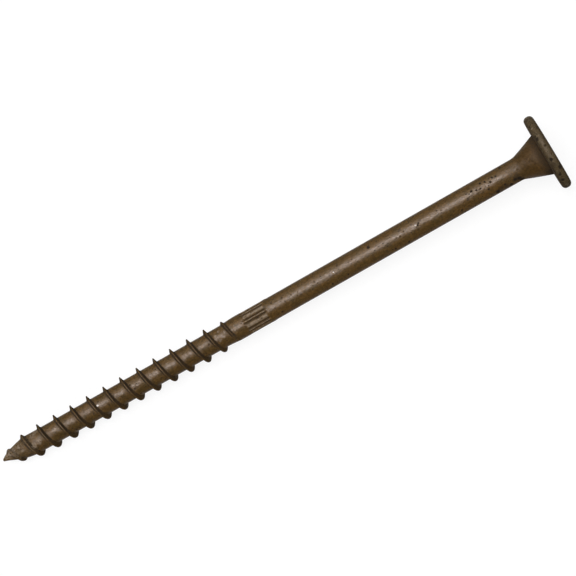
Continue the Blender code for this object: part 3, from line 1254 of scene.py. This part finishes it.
@dataclass(frozen=True)
class CoatingFinish:
    """Bronze-brown protective coat, mottled and lightly marked, with painted shade in its hollows
    and painted glints.

    Attributes:
        name: Name of the material.
        brown: Main colour.
        rust: Redder patches.
        neck: Smoother, redder coat on the conical neck, darker as painted shade of its shaded side.
        crust: Greyer, rougher coat on the head's rim.
        olive: Greener, darker patches.
        painted_shade_and_stain: Painted shade in corners and hollows, and the colour of stains.
        rubbed: Where it is rubbed thin, on edges.
        scuffed: Where it is scratched.
        black: Pits and specks.
        glint: Spots of painted highlight.
        sheen_tint: Tint of its gloss.
        roughness: Mean roughness.
        smoother: How far the smoothest clouds are below it.
        rougher: How far the roughest clouds are above it.
        specular: Strength of its gloss.
        rub_amount: How much the edges are rubbed.
        hollow_shade_amount: How dark the painted shade in the corners is.
    """

    name: str = "bronze_brown_coating"
    brown: Colour = (0.080, 0.043, 0.0105)
    rust: Colour = (0.118, 0.058, 0.014)
    neck: Colour = (0.060, 0.029, 0.006)
    crust: Colour = (0.064, 0.047, 0.022)
    olive: Colour = (0.052, 0.034, 0.009)
    painted_shade_and_stain: Colour = (0.025, 0.0145, 0.0045)
    rubbed: Colour = (0.185, 0.135, 0.080)
    scuffed: Colour = (0.270, 0.205, 0.145)
    black: Colour = (0.010, 0.006, 0.002)
    glint: Colour = (0.80, 0.74, 0.68)
    sheen_tint: Colour = (1.0, 0.85, 0.77)
    roughness: float = 0.40
    smoother: float = 0.08
    rougher: float = 0.10
    specular: float = 0.06
    rub_amount: float = 0.7
    hollow_shade_amount: float = 0.92

    def position(self, sheet: NodeSheet, rest: Rest) -> Socket:
        """Return the place on the screw in its own frame, in millimetres.

        Args:
            sheet: The material's node tree.
            rest: How the screw lies in the world.

        Returns:
            The socket that gives the place.
        """
        back = rest.matrix().inverted()
        place = sheet.node("ShaderNodeTexCoord").outputs["Object"]
        inputs = {"Vector": place, "Location": tuple(back.translation * MILLIMETRES),
                  "Rotation": tuple(back.to_euler()), "Scale": (MILLIMETRES,) * 3}
        return sheet.node("ShaderNodeMapping", inputs, vector_type="POINT").outputs[0]

    def spots(self, sheet: NodeSheet, spot: bpy.types.NodeTree, position: Socket,
              marks: Spots) -> Socket:
        """Lay single spots over each other.

        Args:
            sheet: The material's node tree.
            spot: The node group of one spot.
            position: The place on the screw.
            marks: Centre and radius of each spot, in millimetres.

        Returns:
            The mask of all of them.
        """
        total: Value = 0.0
        for centre, radius in marks:
            offset = sheet.vectors("SUBTRACT", position, tuple(centre))["Vector"]
            total = sheet.larger(sheet.effect(spot, offset, Radius=radius), total)
        return total

    def colour(self, sheet: NodeSheet, masks: CoatMasks, effects: CoatingEffects,
               position: Socket, spots: dict[MarkKind, Socket]) -> Socket:
        """Lay the coat's colours over each other.

        Args:
            sheet: The material's node tree.
            masks: Where each finish shows.
            effects: The shared node groups.
            position: The place on the screw.
            spots: The mask of the single marks, by kind.

        Returns:
            The colour.
        """
        rust = sheet.times(masks.small, masks.off_neck)
        crust = sheet.times(masks.on_rim, sheet.ramp(masks.cloudy, 0.35, 0.6, 0.4, 1.0))
        colour = sheet.layers(self.brown, ((masks.wide, 0.6, self.olive),
                                           (rust, 0.35, self.rust),
                                           # The neck's coat is partly painted shade
                                           (masks.on_neck, 0.6, self.neck),
                                           (crust, 1.0, self.crust)))
        tone = sheet.times(sheet.ramp(masks.grain, 0.25, 0.75, 0.78, 1.22),
                           sheet.ramp(masks.cloudy, 0.25, 0.75, 0.75, 1.25))
        colour = sheet.blend(1.0, colour, tone, "MULTIPLY")
        # Painted shade in corners and hollows
        painted_shade_and_stain = sheet.effect(effects.hollow_shade, position, Hollow=masks.hollow,
                                Amount=self.hollow_shade_amount)
        chalk = sheet.times(sheet.ramp(masks.grain, 0.56, 0.68), masks.on_rim)
        rubbed = sheet.effect(effects.rubbed, position, Edge=masks.worn, Amount=self.rub_amount)
        bare = sheet.times(sheet.ramp(masks.worn, 0.5, 0.95), sheet.ramp(masks.cloudy, 0.36, 0.6))
        colour = sheet.layers(colour, ((painted_shade_and_stain, 1.0, self.painted_shade_and_stain),
                                       (chalk, 0.5, self.rubbed),
                                       (rubbed, 1.0, self.rubbed),
                                       (bare, 0.8, self.scuffed),
                                       (masks.specks, 0.6, self.black)))
        streaks = sheet.times(sheet.ramp(masks.cloudy, 0.34, 0.62), 0.7)
        # Glints are spots of painted highlight
        marks = ((MarkKind.SCUFF, streaks, self.scuffed), (MarkKind.STAIN, 0.6, self.painted_shade_and_stain),
                 (MarkKind.PIT, 0.92, self.black), (MarkKind.GLINT, 1.0, self.glint))
        return sheet.layers(colour, ((spots[kind], share, shade)
                                     for kind, share, shade in marks if kind in spots))

    def material(self, effects: CoatingEffects, rest: Rest,
                 marks: dict[MarkKind, Spots]) -> bpy.types.Material:
        """Make the material.

        Args:
            effects: The shared node groups.
            rest: How the screw lies in the world.
            marks: Centre and radius of each single mark, by kind.

        Returns:
            The new material.
        """
        material = bpy.data.materials.new(self.name)
        material.use_nodes = True
        sheet = NodeSheet(material.node_tree)
        shader = material.node_tree.nodes["Principled BSDF"].inputs
        position = self.position(sheet, rest)
        masks = CoatMasks(sheet, effects, position)
        wobble = sheet.noise(position, scale=3.2, detail=3.0, roughness=0.6)["Color"]
        place = sheet.wander(position, wobble, amount=0.6)
        spots = {kind: self.spots(sheet, effects.spot, place, found)
                 for kind, found in marks.items()}
        sheet.feed(shader["Base Color"], self.colour(sheet, masks, effects, position, spots))
        sunk = sheet.larger(sheet.times(masks.specks, 0.65), spots.get(MarkKind.PIT, 0.0))
        clouds = sheet.ramp(masks.cloudy, 0.3, 0.7, self.roughness - self.smoother,
                            self.roughness + self.rougher)
        # How much duller the coat is where it is worn, on the rim, by the neck and where it is sunk
        duller = ((masks.worn, 0.35), (masks.on_rim, 0.06), (masks.by_neck, 0.16),
                  (masks.hollow, 0.6), (sunk, 0.7))
        sheet.feed(shader["Roughness"], sheet.add_up(clouds, duller, clamp=True))
        shader["Specular IOR Level"].default_value = self.specular
        shader["Specular Tint"].default_value = (*self.sheen_tint, 1.0)
        # Depth of each kind of relief, in millimetres
        relief = ((masks.lumps, 0.17), (masks.cloudy, 0.045), (masks.grain, 0.012), (sunk, -0.05))
        bump = sheet.node("ShaderNodeBump", {"Strength": 1.0, "Distance": 1.0 / MILLIMETRES,
                                             "Height": sheet.add_up(0.0, relief)})
        sheet.feed(shader["Normal"], bump.outputs["Normal"])
        return material


@dataclass
class Screw:
    """The whole screw: its sub-assemblies share one skin."""

    rest: Rest = field(default_factory=Rest)
    threaded_end: ThreadedEnd = field(default_factory=ThreadedEnd)
    collar: ReamerCollar = field(default_factory=ReamerCollar)
    shank: Shank = field(default_factory=Shank)
    head: WasherHead = field(default_factory=WasherHead)
    recess: DriveRecess = field(default_factory=DriveRecess)

    def surface_radius(self, along: float) -> float:
        """Return the radius of the plain surface.

        Args:
            along: Distance from the point, in millimetres.

        Returns:
            The radius there, in millimetres.
        """
        height = along / MILLIMETRES
        if height < self.threaded_end.shoulder_top:
            return self.threaded_end.core_radius(height) * MILLIMETRES
        outline = [(h, r) for r, h, _, _ in self.head.outline()]
        if height < outline[0][0]:
            return self.shank.diameter / 2 * MILLIMETRES
        if height > self.head.length - self.head.thickness:
            return self.head.diameter / 2 * MILLIMETRES
        return float(np.interp(height, *zip(*outline))) * MILLIMETRES

    def place(self, mark: Mark) -> tuple[Vector, float]:
        """Find where a mark is on the formed screw.

        Args:
            mark: The mark.

        Returns:
            Its centre in the screw's own frame and its radius, in millimetres.
        """
        angle = math.pi + math.radians(mark.around)
        out = self.surface_radius(mark.along)
        true = np.array([[out * math.cos(angle), out * math.sin(angle), mark.along]])
        centre = OutOfTrue().move(true / MILLIMETRES)[0] * MILLIMETRES
        return Vector(centre), mark.radius

    def build(self) -> bpy.types.Object:
        """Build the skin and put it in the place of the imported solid.

        Returns:
            The new object.
        """
        skin = Skin()
        row = self.threaded_end.build(skin)
        row = self.collar.build(skin, row)
        row = self.shank.build(skin, row)
        row = self.head.build(skin, row)
        self.recess.build(skin, row)
        piece = skin.build("screw_skin", self.rest.matrix())
        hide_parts(NODE)
        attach(piece, BODY)
        return piece

    def dress(self, piece: bpy.types.Object, effects: CoatingEffects) -> None:
        """Give the skin its two finishes.

        Args:
            piece: The skin.
            effects: The shared node groups.
        """
        marks = {kind: [self.place(Mark(*entry)) for entry in entries]
                 for kind, entries in MARK_PLACES.items()}
        outside = CoatingFinish()
        recess = CoatingFinish(name="recess_coating", brown=(0.076, 0.040, 0.012),
                               rust=(0.10, 0.048, 0.014), roughness=0.36, rub_amount=0.5,
                               hollow_shade_amount=0.7)
        piece.data.materials.append(outside.material(effects, self.rest, marks))
        piece.data.materials.append(recess.material(effects, self.rest, {}))


def background_rays(sheet: NodeSheet) -> Socket:
    """Pick out the rays that show the background: those of the camera, gloss and glass.

    Args:
        sheet: Node tree of the floor or the world.

    Returns:
        1 for those rays, and 0 for the others.
    """
    path = sheet.node("ShaderNodeLightPath").outputs
    seen = sheet.maths("ADD", path["Is Camera Ray"], path["Is Glossy Ray"])
    return sheet.maths("ADD", seen, path["Is Transmission Ray"], clamp=True)


@dataclass
class Floor:
    """Plain pale floor, which shows nearly white and keeps the screw's shadow."""

    half_size: float = 3.0
    drop: float = 0.00002
    colour: Colour = (0.17, 0.17, 0.17)
    glow: float = 0.86

    def build(self) -> bpy.types.Object:
        """Build the floor.

        Returns:
            The floor.
        """
        corners = [(x * self.half_size, y * self.half_size, -self.drop)
                   for x, y in ((-1, -1), (1, -1), (1, 1), (-1, 1))]
        mesh = bpy.data.meshes.new("floor")
        mesh.from_pydata(corners, [], [(0, 1, 2, 3)])
        mesh.materials.append(self.material())
        floor = new_object("floor", mesh)
        return floor

    def material(self) -> bpy.types.Material:
        """Make the floor's material: a matt surface with a glow that only the camera and gloss see.

        Returns:
            The new material.
        """
        material = bpy.data.materials.new("pale_floor")
        material.use_nodes = True
        material.node_tree.nodes.clear()
        sheet = NodeSheet(material.node_tree)
        matt = sheet.node("ShaderNodeBsdfDiffuse", {"Color": self.colour}).outputs[0]
        strength = sheet.times(background_rays(sheet), self.glow)
        glow = sheet.node("ShaderNodeEmission", {"Strength": strength}).outputs[0]
        both = sheet.node("ShaderNodeAddShader", {0: matt, 1: glow}).outputs[0]
        sheet.node("ShaderNodeOutputMaterial", {"Surface": both})
        return material


class Lights(Enum):
    """What a lamp lights."""

    SURFACE = "the surface itself"
    GLOSS = "only what the gloss mirrors"


@dataclass(frozen=True)
class Lamp:
    """A wide lamp far away.

    Attributes:
        name: Name of the lamp.
        lights: What it lights.
        towards: Direction from the screw to the lamp.
        strength: Its strength.
        width: How wide it looks, in degrees.
    """

    name: str
    lights: Lights
    towards: Place
    strength: float
    width: float

    def build(self) -> None:
        """Add the lamp to the scene."""
        data = bpy.data.lights.new(self.name, "SUN")
        data.energy = self.strength
        data.angle = math.radians(self.width)
        lamp = new_object(self.name, data)
        lamp.rotation_euler = Vector(self.towards).to_track_quat("Z", "Y").to_euler()
        lamp.location = Vector(self.towards).normalized() * LAMP_DISTANCE
        lamp.visible_glossy = self.lights is Lights.GLOSS
        lamp.visible_diffuse = self.lights is Lights.SURFACE


# Where the lamps stand; they shine like suns, so only their direction counts
LAMP_DISTANCE = 0.6

LAMPS = (Lamp("softbox", Lights.SURFACE, (-0.114, 0.26, 1.0), 1.82, 30.0),
         Lamp("softbox_sheen", Lights.GLOSS, (-0.114, 0.27, 1.0), 27.5, 25.0),
         Lamp("softbox_side", Lights.GLOSS, (-0.114, 1.3, 1.0), 4.2, 40.0))


@dataclass
class Studio:
    """Soft light from above, and a plain world that is white only as a background.

    Attributes:
        low_fill: Light of the world at the horizon.
        high_fill: Light of the world straight above.
        high_seen: How bright the backdrop shows straight above; at the horizon it is white.
        seen_power: How soon it darkens above the horizon.
    """

    low_fill: float = 0.52
    high_fill: float = 0.38
    high_seen: float = 0.25
    seen_power: float = 0.5

    def build(self) -> None:
        """Add the lamps and set the world."""
        for lamp in LAMPS:
            lamp.build()
        world = bpy.data.worlds.new("studio")
        bpy.context.scene.world = world
        world.use_nodes = True
        sheet = NodeSheet(world.node_tree)
        direction = sheet.node("ShaderNodeTexCoord").outputs["Generated"]
        up = sheet.node("ShaderNodeSeparateXYZ", {0: direction}).outputs["Z"]
        fill = sheet.blend(up, (self.low_fill,) * 3, (self.high_fill,) * 3)
        climb = sheet.maths("POWER", sheet.larger(up, 0.0), self.seen_power)
        seen = sheet.blend(climb, (1.0,) * 3, (self.high_seen,) * 3)
        colour = sheet.blend(background_rays(sheet), fill, seen)
        sheet.feed(world.node_tree.nodes["Background"].inputs["Color"], colour)


@dataclass
class PhotoCamera:
    """The photograph's camera, nearly straight above the lying screw.

    Attributes:
        aim_along: Distance from the point to the middle of the picture, along the axis.
        aim_across: Distance of the middle of the picture from the axis, towards +Y.
        distance: Distance from the aim to the camera.
        lean: Lean of the camera towards the head.
        roll: Rise of the screw's axis in the picture.
        picture_width: Width of the picture at the aim.
        sensor_width: Width of the camera's sensor, in millimetres.
        nearest: Distance from which things are seen.
    """

    aim_along: float = 0.08153
    aim_across: float = 0.002415
    distance: float = 0.5517
    lean: float = math.radians(6.2)
    roll: float = math.radians(29.63)
    picture_width: float = 0.13816
    sensor_width: float = 36.0
    nearest: float = 0.01

    def build(self, rest: Rest) -> bpy.types.Object:
        """Place the camera.

        Args:
            rest: How the screw lies in the world.

        Returns:
            The camera.
        """
        side = Vector((0.0, 1.0, 0.0))
        back = math.cos(self.lean) * rest.up() + math.sin(self.lean) * rest.axis()
        right = math.cos(self.lean) * rest.axis() - math.sin(self.lean) * rest.up()
        across = math.cos(self.roll) * right - math.sin(self.roll) * side
        upward = math.sin(self.roll) * right + math.cos(self.roll) * side
        aim = Vector(rest.tip) + self.aim_along * rest.axis() + self.aim_across * side
        data = bpy.data.cameras.new("photo_camera")
        data.sensor_width = self.sensor_width
        data.lens = self.sensor_width * self.distance / self.picture_width
        data.clip_start = self.nearest
        camera = new_object("photo_camera", data)
        turn = Matrix((across, upward, back)).transposed().to_4x4()
        camera.matrix_world = Matrix.Translation(aim + self.distance * back) @ turn
        bpy.context.scene.camera = camera
        return camera


def main() -> None:
    """Build the screw, then the stage round it."""
    logging.basicConfig(level=logging.INFO, format="%(name)s: %(message)s")
    screw = Screw()
    camera = PhotoCamera().build(screw.rest)
    LOG.info("camera %s at %s", camera.name, tuple(round(c, 4) for c in camera.location))
    effects = CoatingEffects()
    piece = screw.build()
    screw.dress(piece, effects)
    LOG.info("%s has %d faces", piece.name, len(piece.data.polygons))
    floor = Floor().build()
    LOG.info("%s is %.1f m wide", floor.name, floor.dimensions.x)
    Studio().build()
    bpy.context.scene.view_settings.view_transform = "Standard"


if __name__ == "__main__":
    main()
